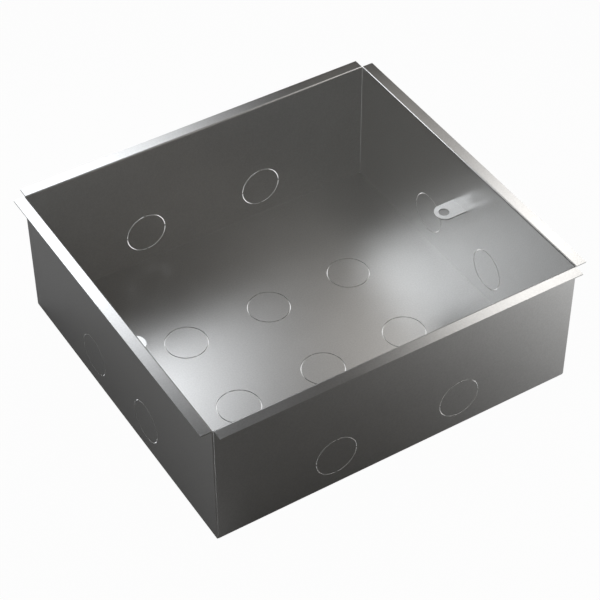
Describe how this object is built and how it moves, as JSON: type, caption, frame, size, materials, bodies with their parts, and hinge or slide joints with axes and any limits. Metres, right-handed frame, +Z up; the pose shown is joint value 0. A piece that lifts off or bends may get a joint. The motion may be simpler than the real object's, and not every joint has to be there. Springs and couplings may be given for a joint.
{
  "type": "floor box",
  "caption": "Open square-cornered steel tray folded from one sheet, with a flange round its rim, ring-slit knockouts in floor and walls, and a drilled fixing tab on each side wall.",
  "frame": {"origin": "centre of the underside of the floor, which is the bottom centre of the whole box", "axes": "+Z up out of the open top; +X across the box towards one side wall with a fixing tab, along its longest side; +Y from the front wall to the back wall"},
  "size_m": [0.302, 0.281, 0.105],
  "materials": {
    "galvanised_sheet": "satin continuously galvanised mild steel sheet, fine grey grain, no paint"
  },
  "bodies": {
    "root": {"folded_tray": "galvanised_sheet", "fixing_tab_right": "galvanised_sheet", "fixing_tab_left": "galvanised_sheet"}
  },
  "joints": []
}
